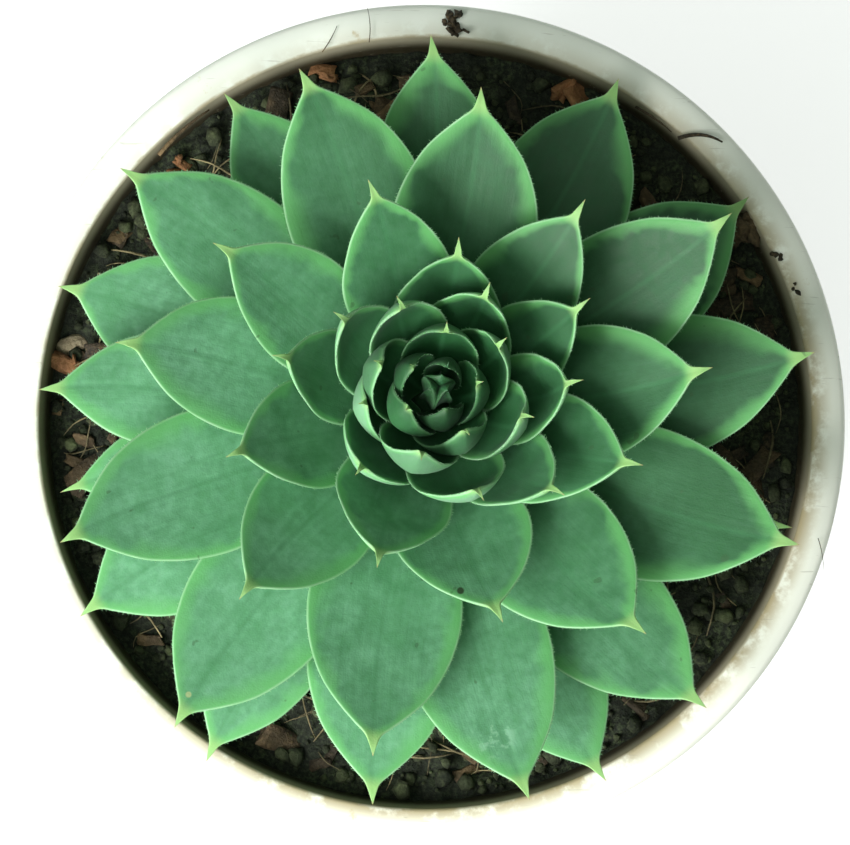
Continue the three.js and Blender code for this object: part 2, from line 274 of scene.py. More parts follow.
def cut_drain_holes(pot):
    """Bores a ring of holes and a middle one through the floor."""
    bm = bmesh.new()
    spots = [(0, 0)]
    for hole in range(DRAIN_HOLES):
        angle = hole * math.tau / DRAIN_HOLES
        spots.append((DRAIN_CIRCLE * math.cos(angle), DRAIN_CIRCLE * math.sin(angle)))
    for x, y in spots:
        place = Matrix.Translation((x, y, FLOOR_TOP / 2))
        bmesh.ops.create_cone(
            bm, cap_ends=True, segments=32, radius1=DRAIN_RADIUS, radius2=DRAIN_RADIUS,
            depth=2 * FLOOR_TOP, matrix=place,
        )
    mesh = bpy.data.meshes.new("drill")
    bm.to_mesh(mesh)
    bm.free()
    drill = bpy.data.objects.new("drill", mesh)
    bpy.context.scene.collection.objects.link(drill)
    cut = pot.modifiers.new("drain_holes", "BOOLEAN")
    cut.object = drill
    cut.operation = "DIFFERENCE"
    cut.solver = "EXACT"
    bpy.context.view_layer.update()
    shown = pot.evaluated_get(bpy.context.evaluated_depsgraph_get())
    bored = bpy.data.meshes.new_from_object(shown)
    pot.modifiers.clear()
    pot.data = bored
    bpy.data.objects.remove(drill)


pot = made("pot_shell", pot_shell(), pot_plastic(), "pot_plastic", "pot")
cut_drain_holes(pot)


# ---- Soil ----
# Dark peat that fills the pot to just below the rim. It is crumbly, with bits of bark, root fibres
# and a pebble in it, which lie loose on its top.

soil_low, soil_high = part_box("soil")
SOIL_BOTTOM = soil_low.z
SOIL_TOP = soil_high.z
SOIL_EDGE_TOP = SOIL_TOP - 0.0015
SOIL_ROUGHNESS = 0.0022
SOIL_RINGS = 110
SOIL_STEPS = 360
CRUMBS = 2600
BARK_BITS = 170
FIBRES = 520
# The places of the orange bark chips, and their sizes.
ORANGE_CHIPS = (
    (-0.0520, 0.0080, 0.0036), (-0.0358, 0.0372, 0.0032), (-0.0145, 0.0505, 0.0030),
    (0.0212, 0.0482, 0.0058),
)
dice = random.Random(7)


def soil_height(x, y):
    """The height of the peat's crumbly top."""
    share = min(1.0, math.hypot(x, y) / MOUTH_RADIUS)
    smooth = SOIL_TOP + (SOIL_EDGE_TOP - SOIL_TOP) * share**2
    place = Vector((x, y, 0))
    clods = noise.turbulence(place * 260, 4, True) - 0.55
    rises = noise.noise(place * 45)
    return smooth + SOIL_ROUGHNESS * (0.9 * clods + 0.5 * rises)


def soil_bed():
    """The whole body of peat, with its crumbly top."""
    edge = wall_inside(SOIL_EDGE_TOP) + 0.0002
    profile = [(edge * step / SOIL_RINGS, SOIL_TOP) for step in range(SOIL_RINGS + 1)]
    profile += [(wall_inside(SOIL_BOTTOM) - 0.0003, SOIL_BOTTOM), (0, SOIL_BOTTOM)]
    bm = spun(profile, SOIL_STEPS)
    for vert in bm.verts:
        if vert.co.z > SOIL_EDGE_TOP - 0.001:
            vert.co.z = soil_height(vert.co.x, vert.co.y)
    return bm


def crumbly_group():
    """The crumbly look that all the peat, bark and stone share, as a node group: near black in the hollows
    of its relief, which is painted shade, with paler grains. A bit's own tint makes the whole of it paler."""
    tree = bpy.data.node_groups.new("crumbly", "ShaderNodeTree")
    sockets = (
        ("INPUT", "Place", "NodeSocketVector"), ("INPUT", "Tint", "NodeSocketFloat"),
        ("INPUT", "Dark", "NodeSocketColor"), ("INPUT", "Light", "NodeSocketColor"),
        ("INPUT", "Dryness", "NodeSocketFloat"), ("OUTPUT", "Colour", "NodeSocketColor"),
        ("OUTPUT", "Roughness", "NodeSocketFloat"), ("OUTPUT", "Height", "NodeSocketFloat"),
    )
    for side, name, kind in sockets:
        tree.interface.new_socket(name=name, in_out=side, socket_type=kind)
    given = node(tree, "NodeGroupInput").outputs
    grain = speckle(tree, given["Place"], 1400, 4, 0.7)
    patches = speckle(tree, given["Place"], 160, 3, 0.6)
    # Painted shade: the grains that sit low in the relief take the dark colour.
    share = maths(tree, "ADD", product(tree, ramp(tree, grain, 0.4, 0.75), 0.6), given["Tint"])
    share = product(tree, share, ramp(tree, patches, 0.35, 0.7, 0.3, 1.0), clamp=True)
    worn = maths(tree, "SUBTRACT", given["Dryness"], 0.25)
    results = {
        "Colour": mix(tree, share, given["Dark"], given["Light"]),
        "Roughness": ramp(tree, grain, 0.3, 0.8, given["Dryness"], worn),
        "Height": grain,
    }
    node(tree, "NodeGroupOutput", results)
    return tree


crumbly = crumbly_group()


def peat(name, dark, light, dryness=0.95):
    """A crumbly material between two colours."""
    material, tree, shader = new_material(name)
    place = node(tree, "ShaderNodeTexCoord").outputs["Object"]
    tint = node(tree, "ShaderNodeAttribute", attribute_name="tint").outputs["Fac"]
    inputs = {"Place": place, "Tint": tint, "Dark": dark, "Light": light, "Dryness": dryness}
    look = node(tree, "ShaderNodeGroup", inputs, node_tree=crumbly).outputs
    tree.links.new(look["Colour"], shader.inputs["Base Color"])
    tree.links.new(look["Roughness"], shader.inputs["Roughness"])
    bumped(tree, shader, look["Height"], 0.8, 0.0006)
    return material


def bit_mesh(shape):
    """A small mesh that is stamped many times. The bmesh is used up."""
    mesh = bpy.data.meshes.new("bit")
    shape.to_mesh(mesh)
    shape.free()
    return mesh


def stamp(bm, bit, place, tint):
    """Adds a copy of a bit at a place, and gives its vertices a tint."""
    layer = bm.verts.layers.float.get("tint") or bm.verts.layers.float.new("tint")
    before = len(bm.verts)
    copy = bit.copy()
    copy.transform(place)
    bm.from_mesh(copy)
    bpy.data.meshes.remove(copy)
    bm.verts.ensure_lookup_table()
    for index in range(before, len(bm.verts)):
        bm.verts[index][layer] = tint


def on_soil(x, y, rise=0.0):
    return Vector((x, y, soil_height(x, y) + rise))


def scattered(radius_from, radius_to):
    """A point on the soil, evenly spread between two radii."""
    radius = math.sqrt(dice.uniform(radius_from**2, radius_to**2))
    angle = dice.uniform(0, math.tau)
    return on_soil(radius * math.cos(angle), radius * math.sin(angle))


def any_turn():
    axis = Vector((dice.gauss(0, 1), dice.gauss(0, 1), dice.gauss(0, 1)))
    return Matrix.Rotation(dice.uniform(0, math.tau), 4, axis.normalized())


def crumb_bits(kinds):
    """A few knobbly crumbs, one unit across."""
    bits = []
    for kind in range(kinds):
        bm = bmesh.new()
        bmesh.ops.create_icosphere(bm, subdivisions=1, radius=0.5)
        for vert in bm.verts:
            vert.co *= 1 + 0.6 * noise.noise(vert.co * 2.5 + Vector((kind * 7, 0, 0)))
        bits.append(bit_mesh(bm))
    return bits


def bark_bits(kinds):
    """A few flat flakes with broken edges, one unit long."""
    bits = []
    for kind in range(kinds):
        bm = bmesh.new()
        bmesh.ops.create_cube(bm, size=1, matrix=Matrix.Diagonal((1, 0.5, 0.16, 1)))
        bmesh.ops.subdivide_edges(bm, edges=bm.edges, cuts=2, use_grid_fill=True)
        for vert in bm.verts:
            shift = noise.noise_vector(vert.co * 3 + Vector((kind * 9, 0, 0)))
            vert.co += Vector((0.22 * shift.x, 0.16 * shift.y, 0.08 * shift.z))
        bits.append(bit_mesh(bm))
    return bits


def tube(bm, points, radii, sides=5):
    """A round strand along points, closed at its ends."""
    ends = None
    count = len(points)
    for index, (point, radius) in enumerate(zip(points, radii)):
        ahead = points[min(index + 1, count - 1)] - points[max(index - 1, 0)]
        turn = ahead.to_track_quat("Z", "Y").to_matrix().to_4x4()
        ring = bmesh.ops.create_circle(
            bm, segments=sides, radius=radius, matrix=Matrix.Translation(point) @ turn,
            cap_ends=index in (0, count - 1),
        )["verts"]
        edges = list({edge for vert in ring for edge in vert.link_edges if edge.other_vert(vert) in ring})
        if ends:
            bmesh.ops.bridge_loops(bm, edges=ends + edges)
        ends = edges


def fibre_bits(kinds):
    """A few curly root fibres, one unit long."""
    bits = []
    for kind in range(kinds):
        bm = bmesh.new()
        curl = dice.uniform(0.2, 0.9)
        wave = dice.uniform(0, math.tau)
        points = []
        for step in range(8):
            along = step / 7
            sway = curl * 0.25 * math.sin(along * 3.2 + wave)
            rise = 0.12 * math.sin(along * math.pi) + 0.04 * math.cos(along * 9)
            points.append(Vector((along - 0.5, sway, rise)))
        tube(bm, points, [0.008 + 0.008 * math.sin(math.pi * step / 7) for step in range(8)])
        bmesh.ops.recalc_face_normals(bm, faces=bm.faces)
        bits.append(bit_mesh(bm))
    return bits


def loose_bits(bits, count, size_from, size_to, sink, tint_from, tint_to, flat=False):
    """Many copies of a few bits, strewn over the soil and clear of the pot's wall."""
    bm = bmesh.new()
    wall = wall_inside(SOIL_TOP) - 0.0006
    while count:
        spot = scattered(0.018, wall)
        size = size_from * (size_to / size_from) ** (dice.random() ** 1.6)
        turn = any_turn()
        if flat:
            tilt = Matrix.Rotation(dice.gauss(0, 0.3), 4, "X") @ Matrix.Rotation(dice.gauss(0, 0.2), 4, "Y")
            turn = Matrix.Rotation(dice.uniform(0, math.tau), 4, "Z") @ tilt
        place = Matrix.Translation(spot + Vector((0, 0, sink * size))) @ turn @ Matrix.Scale(size, 4)
        ends = [(place @ Vector((x, y, 0))).xy.length for x in (-0.5, 0.5) for y in (-0.25, 0.25)]
        if max(ends) < wall:
            stamp(bm, bits[dice.randrange(len(bits))], place, dice.uniform(tint_from, tint_to))
            count -= 1
    return bm


def clump(bm, bits, middle, spread, count, size, tint):
    """A few bits stuck together."""
    for _ in range(count):
        shift = Vector((dice.gauss(0, 1), dice.gauss(0, 1), abs(dice.gauss(0, 0.4)))) * spread
        turn = any_turn()
        place = Matrix.Translation(middle + shift) @ turn @ Matrix.Scale(size * dice.uniform(0.5, 1.2), 4)
        stamp(bm, bits[dice.randrange(len(bits))], place, tint)


def pebble(x, y, length):
    """A smooth uneven stone, half sunk in the peat."""
    bm = bmesh.new()
    bmesh.ops.create_icosphere(bm, subdivisions=4, radius=0.5)
    for vert in bm.verts:
        vert.co *= 1 + 0.22 * noise.noise(vert.co * 1.7) + 0.05 * noise.noise(vert.co * 6)
    place = Matrix.Translation(on_soil(x, y, 0.0004)) @ Matrix.Rotation(0.3, 4, "Z")
    bm.transform(place @ Matrix.Diagonal((length, 0.62 * length, 0.5 * length, 1)))
    return bm


def rim_bits(crumbs, flakes):
    """What potting left on the rim: a clump of peat, a twig's end, a straw and a few fibres."""
    bm = bmesh.new()
    clump(bm, flakes, Vector((0.0040, 0.0568, POT_HEIGHT + 0.0002)), 0.0007, 7, 0.0022, 0.1)
    clump(bm, crumbs, Vector((0.0034, 0.0574, POT_HEIGHT + 0.0002)), 0.0009, 6, 0.0012, 0.0)
    clump(bm, crumbs, Vector((0.0503, 0.0237, POT_HEIGHT - 0.0002)), 0.0003, 4, 0.0010, 0.0)
    clump(bm, crumbs, Vector((0.0526, 0.0196, POT_HEIGHT - 0.0002)), 0.0004, 3, 0.0009, 0.0)
    clump(bm, flakes, Vector((0.0462, 0.0287, POT_HEIGHT - 0.0026)), 0.0016, 9, 0.0042, 0.35)
    # A strand's start, middle and end, its radius, its rise over the rim and its tint.
    strands = [
        ((0.0360, 0.0405), (0.0394, 0.0417), (0.0424, 0.0400), 0.00032, 0.0004, 0.05),
        ((-0.0083, 0.0542), (-0.0079, 0.0567), (-0.0086, 0.0594), 0.00007, 0.0003, 0.5),
        ((-0.0384, 0.0380), (-0.0352, 0.0418), (-0.0312, 0.0446), 0.00032, -0.0012, 0.9),
        ((0.0300, 0.0452), (0.0330, 0.0434), (0.0352, 0.0416), 0.00020, -0.0006, 0.3),
        ((0.0558, -0.0168), (0.0564, -0.0190), (0.0566, -0.0214), 0.00006, 0.0002, 0.5),
        ((-0.0150, 0.0528), (-0.0136, 0.0546), (-0.0129, 0.0566), 0.00008, 0.0002, 0.5),
    ]
    layer = bm.verts.layers.float.get("tint")
    for start, middle, end, radius, rise, tint in strands:
        before = set(bm.verts)
        points = []
        for step in range(9):
            t = step / 8
            spot = (1 - t) ** 2 * Vector(start) + 2 * t * (1 - t) * Vector(middle) + t**2 * Vector(end)
            points.append(Vector((*spot, POT_HEIGHT + rise + 0.0004 * math.sin(math.pi * t))))
        tube(bm, points, [radius * (1 - 0.6 * (step / 8) ** 2) for step in range(9)])
        for vert in set(bm.verts) - before:
            vert[layer] = tint
    bmesh.ops.recalc_face_normals(bm, faces=bm.faces)
    return bm


crumb_kinds = crumb_bits(8)
flake_kinds = bark_bits(7)
made("soil_bed", soil_bed(), peat("peat", (0.006, 0.009, 0.004, 1), (0.10, 0.145, 0.05, 1)), "soil", "soil")

crumbs = loose_bits(crumb_kinds, CRUMBS, 0.0006, 0.0032, sink=0.2, tint_from=0.0, tint_to=0.6)
crumb_peat = peat("peat_crumbs", (0.008, 0.012, 0.005, 1), (0.115, 0.145, 0.055, 1))
made("soil_crumbs", crumbs, crumb_peat, "soil")

bark = loose_bits(flake_kinds, BARK_BITS, 0.0025, 0.0075, sink=0.12, tint_from=0.0, tint_to=0.9, flat=True)
bark_brown = peat("bark", (0.018, 0.014, 0.007, 1), (0.19, 0.125, 0.055, 1), 0.85)
made("soil_bark", bark, bark_brown, "soil")

fibres = loose_bits(fibre_bits(9), FIBRES, 0.005, 0.015, sink=0.03, tint_from=0.0, tint_to=1.0, flat=True)
root_fibre = peat("root_fibre", (0.05, 0.043, 0.018, 1), (0.36, 0.30, 0.15, 1), 0.8)
made("soil_fibres", fibres, root_fibre, "soil")

chips = bmesh.new()
for x, y, size in ORANGE_CHIPS:
    clump(chips, flake_kinds, on_soil(x, y, 0.0008), 0.0005, 3, size, 0.7)
made("soil_chips", chips, peat("orange_bark", (0.11, 0.045, 0.015, 1), (0.42, 0.20, 0.08, 1), 0.85), "soil")

stone = peat("stone", (0.30, 0.24, 0.15, 1), (0.55, 0.47, 0.33, 1), 0.8)
made("soil_pebble", pebble(-0.0512, 0.0112, 0.0046), stone, "soil")
made("rim_bits", rim_bits(crumb_kinds, flake_kinds), bark_brown, "soil")


# ---- Stem ----
# The short stalk that the leaves grow from, rooted in the peat. It is dry and scarred below and green
# at the crown, and the leaves hide nearly all of it.

def stem_bark():
    material, tree, shader = new_material("stem_bark")
    place = node(tree, "ShaderNodeTexCoord").outputs["Object"]
    scars = speckle(tree, place, 700, 4, 0.65)
    shade = mix(tree, ramp(tree, scars, 0.35, 0.65), (0.10, 0.075, 0.035, 1), (0.24, 0.21, 0.10, 1))
    height = node(tree, "ShaderNodeSeparateXYZ", {"Vector": place}).outputs["Z"]
    crown = ramp(tree, height, SOIL_TOP + 0.006, SOIL_TOP + 0.014)
    shade = mix(tree, crown, shade, (0.012, 0.07, 0.018, 1))
    tree.links.new(shade, shader.inputs["Base Color"])
    tree.links.new(ramp(tree, scars, 0.3, 0.7, 0.9, 0.7), shader.inputs["Roughness"])
    bumped(tree, shader, scars, 0.7, 0.0004)
    return material


def stem_stalk():
    """The stalk's own solid with a knobbly skin."""
    bm = bmesh.new()
    bm.from_mesh(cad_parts["stem"].data)
    bmesh.ops.remove_doubles(bm, verts=bm.verts, dist=1e-6)
    bmesh.ops.subdivide_edges(bm, edges=bm.edges, cuts=2, use_grid_fill=True)
    for vert in bm.verts:
        vert.co += 0.0003 * noise.noise(vert.co * 900) * vert.normal
    return bm


made("stem_stalk", stem_stalk(), stem_bark(), "stem", "stem")


# ---- Leaves ----
# Fleshy leaves, flat above and rounded below, with a pale horny margin fringed with short hairs and
# a soft spine at the tip. A blue-grey wax blooms over the green. Each one grows from the stem.

RING_SIDES = 8
LEAF_SIDES = 48
LEAF_ROWS = 72
MARGIN_BEAD = 0.00016
HAIR_SPACING = 0.0005
HAIR_LENGTH = 0.00034
ACROSS_KNOTS = (-1, -0.75, 0, 0.75, 1)
STEM_FOOT = Vector((-0.0011, -0.0005, SOIL_TOP))
STEM_LEAN = math.radians(8)
STEM_LEAN_HEADING = math.radians(60)
WAIST = 0.06
BACK_BULGE = 0.04
TIP_DRAW = 0.15
SHOULDER_TAPER = 0.2
KEEL_SHARPNESS = 0.75


def ring_round(verts):
    """Puts a ring's vertices in order round it."""
    left = set(verts)
    walk = [verts[0]]
    while len(walk) < len(verts):
        last = walk[-1]
        left.discard(last)
        walk.append(next(edge.other_vert(last) for edge in last.link_edges if edge.other_vert(last) in left))
    return [vert.co.copy() for vert in walk]


def rays(ring):
    """The directions from a ring's middle to its points."""
    middle = sum(ring, Vector()) / len(ring)
    return [(point - middle).normalized() for point in ring]


def leaf_rings(name):
    """The rings of a leaf's CAD solid, from foot to tip. Each starts at one margin, goes under the
    belly to the other margin, and comes back over the upper face."""
    bm = bmesh.new()
    bm.from_mesh(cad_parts[name].data)
    bmesh.ops.remove_doubles(bm, verts=bm.verts, dist=1e-6)
    poles = sorted((v for v in bm.verts if len(v.link_edges) == RING_SIDES), key=lambda v: v.co.z)
    foot, tip = poles[0], poles[-1]
    rings = []
    seen = {foot}
    verts = [foot]
    while True:
        beyond = {edge.other_vert(vert) for vert in verts for edge in vert.link_edges} - seen
        if tip in beyond:
            break
        verts = sorted(beyond, key=lambda v: v.index)
        seen.update(verts)
        rings.append(ring_round(verts))
    ends = foot.co.copy(), tip.co.copy()
    bm.free()

    # Every ring is turned to match the one before it.
    for index in range(1, len(rings)):
        last, ring = rings[index - 1], rings[index]
        last_rays = rays(last)
        choices = []
        for walk in (ring, ring[::-1]):
            for turn in range(RING_SIDES):
                turned = walk[turn:] + walk[:turn]
                match = sum(a.dot(b) for a, b in zip(last_rays, rays(turned)))
                choices.append((match, len(choices), turned))
        rings[index] = max(choices)[2]

    # The margins are the widest pair of the widest ring, and the belly bulges away from the chord.
    half = RING_SIDES // 2
    quarter = RING_SIDES // 4
    spans = [((ring[side] - ring[side + half]).length, side) for ring in rings for side in range(half)]
    start = max(spans)[1]
    rings = [ring[start:] + ring[:start] for ring in rings]
    wide = max(rings, key=lambda ring: (ring[0] - ring[half]).length)
    chord = (wide[0] + wide[half]) / 2
    if (wide[quarter] - chord).length < (wide[-quarter] - chord).length:
        rings = [[ring[-side] for side in range(RING_SIDES)] for ring in rings]
    return ends, rings


def stem_line(height):
    """The middle of the leaning stem at a height."""
    drift = (height - STEM_FOOT.z) * math.tan(STEM_LEAN)
    lean = Vector((math.cos(STEM_LEAN_HEADING), math.sin(STEM_LEAN_HEADING), 0))
    return Vector((STEM_FOOT.x, STEM_FOOT.y, height)) + drift * lean


def eased(value, low, high):
    """Goes from 0 to 1 as a value goes from low to high, and is level at both ends."""
    share = min(1.0, max(0.0, (value - low) / (high - low)))
    return share**2 * (3 - 2 * share)


def drawn_in(ends, rings, age):
    """Shapes a leaf on from its CAD rings. Half-grown leaves narrow to a waist and flare at the tip,
    and the young ones in the heart have a round back and a tip that is drawn in to the stem."""
    middles = [ends[0]] + [sum(ring, Vector()) / RING_SIDES for ring in rings] + [ends[1]]
    travelled = [0.0]
    for here, there in zip(middles, middles[1:]):
        travelled.append(travelled[-1] + (there - here).length)
    blade_length = travelled[-3]
    young = eased(age, 0.5, 0.9)
    half_grown = eased(age, 0.4, 0.62) * (1 - young)

    def shift(middle, distance):
        share = min(1.0, distance / blade_length)
        waist = WAIST * math.exp(-(((share - 0.74) / 0.2) ** 2))
        bulge = BACK_BULGE * math.exp(-(((share - 0.6) / 0.2) ** 2))
        draw = TIP_DRAW * max(0.0, (share - 0.6) / 0.4) ** 1.5
        return (middle - stem_line(middle.z)) * (young * (bulge - draw) - half_grown * waist)

    new_rings = []
    for ring, middle, distance in zip(rings, middles[1:], travelled[1:]):
        centre = middle + shift(middle, distance)
        taper = SHOULDER_TAPER * young * math.exp(-(((distance / blade_length - 0.76) / 0.16) ** 2))
        new_rings.append([centre + (point - middle) * (1 - taper) for point in ring])
    return (ends[0], ends[1] + shift(ends[1], travelled[-1])), new_rings


def smooth_through(knots, values, at):
    """A smooth curve through values at uneven knots, read at other places along it. The short cap
    between the first two knots has no say in the slopes, so the curve doesn't swell past it."""
    slopes = np.gradient(values[1:], knots[1:], axis=0)
    slopes = np.concatenate([slopes[:1], slopes])
    span = np.clip(np.searchsorted(knots, at) - 1, 0, len(knots) - 2)
    width = (knots[span + 1] - knots[span]).reshape(-1, *[1] * (values.ndim - 1))
    t = ((at - knots[span]) / (knots[span + 1] - knots[span])).reshape(width.shape)
    start, end = values[span], values[span + 1]
    leave, arrive = slopes[span] * width, slopes[span + 1] * width
    return (
        (2 * t**3 - 3 * t**2 + 1) * start + (t**3 - 2 * t**2 + t) * leave
        + (3 * t**2 - 2 * t**3) * end + (t**3 - t**2) * arrive
    )


class Blade:
    """The curved sheet that a leaf is built on. Across runs from -1 to 1 between the margins, and
    along from 0 at the foot to 1 at the tip."""

    def __init__(self, ends, rings):
        foot, tip = np.array(ends[0]), np.array(ends[1])
        rings = np.array([[tuple(point) for point in ring] for ring in rings])
        belly, upper = rings[:, 2], rings[:, 6]
        deep = belly - upper
        left = rings[:, 5] + 0.06 * deep
        right = rings[:, 7] + 0.06 * deep
        sheet = np.stack([rings[:, 4], left, upper - 0.08 * deep, right, rings[:, 0]], axis=1)
        sheet = np.concatenate([[[foot] * 5], sheet, [[tip] * 5]])
        steps = np.linalg.norm(np.diff(sheet[:, 2], axis=0), axis=1)
        self.length = steps.sum()
        self.knots = np.concatenate([[0], np.cumsum(steps)]) / self.length
        self.sheet = sheet
        self.spine_start = self.knots[-3]
        self.depth = np.concatenate([[0], np.linalg.norm(deep, axis=1), [0]])
        half = np.linalg.norm(sheet[:, 4] - sheet[:, 2], axis=1)
        self.half = np.maximum(half, np.linalg.norm(sheet[:, 0] - sheet[:, 2], axis=1))
        self.outward = 1
        spot = np.array([0.0]), np.array([0.5])
        self.outward = np.sign((self.normal(*spot) * deep[3]).sum())

    def point(self, across, along):
        rows = smooth_through(self.knots, self.sheet, along)
        knots = np.array(ACROSS_KNOTS)
        place = np.zeros((len(along), 3))
        for index, knot in enumerate(knots):
            others = np.delete(knots, index)
            share = np.prod((across[:, None] - others) / (knot - others), axis=1)
            place += share[:, None] * rows[:, index]
        return place

    def normal(self, across, along):
        """Unit vector out of the belly."""
        step = 0.01
        sideways = self.point(across + step, along) - self.point(across - step, along)
        up = np.minimum(along + step, 0.998)
        down = np.maximum(along - step, 0.03)
        onward = self.point(across, up) - self.point(across, down)
        normal = np.cross(sideways, onward)
        length = np.linalg.norm(normal, axis=1)[:, None]
        return self.outward * normal / np.maximum(length, 1e-12)

    def thickness(self, along):
        return np.maximum(smooth_through(self.knots, self.depth, along), 0)

    def half_width(self, along):
        return np.maximum(smooth_through(self.knots, self.half, along), 0)


def leaf_bmesh(blade, age, tint):
    """A closed leaf: a ball whose poles are the foot and the tip, laid on the blade."""
    bm = bmesh.new()
    bmesh.ops.create_uvsphere(bm, u_segments=LEAF_SIDES, v_segments=LEAF_ROWS, radius=1)
    ball = np.array([tuple(vert.co) for vert in bm.verts])
    share = np.arccos(np.clip(ball[:, 2], -1, 1)) / math.pi
    along = np.sin((1 - share) * math.pi / 2)
    round_angle = np.arctan2(ball[:, 1], ball[:, 0])
    across = np.cos(round_angle)
    under = np.sin(round_angle)

    depth = blade.thickness(along)
    half = blade.half_width(along)
    bead = np.minimum(MARGIN_BEAD, np.minimum(0.5 * half, 0.35 * depth + 1e-5))
    keel = KEEL_SHARPNESS * eased(age, 0.5, 0.85)
    fleshy = (1 - keel) * (1 - across**2) ** 0.8 + keel * (1 - np.abs(across))
    edge_round = np.sqrt(np.clip(1 - across**12, 0, 1))
    groove = 0.05 * np.exp(-((across * half / 0.0005) ** 2)) * np.clip((along - 0.3) * 2, 0, 1)
    belly_height = bead * edge_round + depth * 1.02 * fleshy
    upper_height = -bead * edge_round - depth * (0.12 * fleshy - groove)
    height = np.where(under > 0, belly_height, upper_height)
    height = np.where(np.abs(under) < 1e-6, 0, height)
    place = blade.point(across, along) + blade.normal(across, along) * height[:, None]

    layers = {
        name: bm.verts.layers.float.new(name)
        for name in ("edge", "spine", "rib", "upper", "age", "tint", "run")
    }
    past_blade = (along - blade.spine_start) / (1 - blade.spine_start)
    for index, vert in enumerate(bm.verts):
        vert.co = place[index]
        vert[layers["edge"]] = (1 - abs(across[index])) * half[index] * 1000
        vert[layers["spine"]] = max(0.0, 0.5 + 0.5 * past_blade[index])
        vert[layers["rib"]] = across[index] * half[index] * 1000
        vert[layers["upper"]] = 1.0 if under[index] < 0.0 else 0.0
        vert[layers["age"]] = age
        vert[layers["tint"]] = tint
        vert[layers["run"]] = along[index] * blade.length * 1000
    bmesh.ops.recalc_face_normals(bm, faces=bm.faces)
    return bm


def margin_hairs(bm, blade):
    """Short tapered hairs that stand out from both margins and lean towards the tip."""
    shape = bmesh.new()
    rooted = Matrix.Translation((0, 0, 0.3))
    bmesh.ops.create_cone(
        shape, cap_ends=True, segments=3, radius1=0.16, radius2=0.03, depth=1, matrix=rooted
    )
    hair = bit_mesh(shape)
    along = np.linspace(0.25, 0.94, 300)
    for side in (-1, 1):
        across = np.full(len(along), float(side))
        line = blade.point(across, along)
        inner = blade.point(across * 0.98, along)
        travelled = 0.0
        due = HAIR_SPACING
        for index in range(1, len(along)):
            travelled += float(np.linalg.norm(line[index] - line[index - 1]))
            if travelled < due:
                continue
            due = travelled + HAIR_SPACING * dice.uniform(0.5, 1.5)
            outward = Vector(line[index] - inner[index]).normalized()
            onward = Vector(line[index] - line[index - 1]).normalized()
            lean = outward + onward * dice.uniform(0.1, 0.8)
            lean += 0.25 * Vector((dice.gauss(0, 1), dice.gauss(0, 1), dice.gauss(0, 1)))
            turn = lean.to_track_quat("Z", "Y").to_matrix().to_4x4()
            size = HAIR_LENGTH * dice.uniform(0.5, 1.3)
            place = Matrix.Translation(Vector(line[index])) @ turn @ Matrix.Scale(size, 4)
            copy = hair.copy()
            copy.transform(place)
            bm.from_mesh(copy)
            bpy.data.meshes.remove(copy)
    bpy.data.meshes.remove(hair)


def mark(tree, spot, x, y, radius):
    """The mask of one small blemish, seen from above."""
    aside = maths(tree, "POWER", maths(tree, "SUBTRACT", spot["X"], x), 2.0)
    onward = maths(tree, "POWER", maths(tree, "SUBTRACT", spot["Y"], y), 2.0)
    distance = maths(tree, "SQRT", maths(tree, "ADD", aside, onward))
    return ramp(tree, distance, radius, 0.6 * radius)


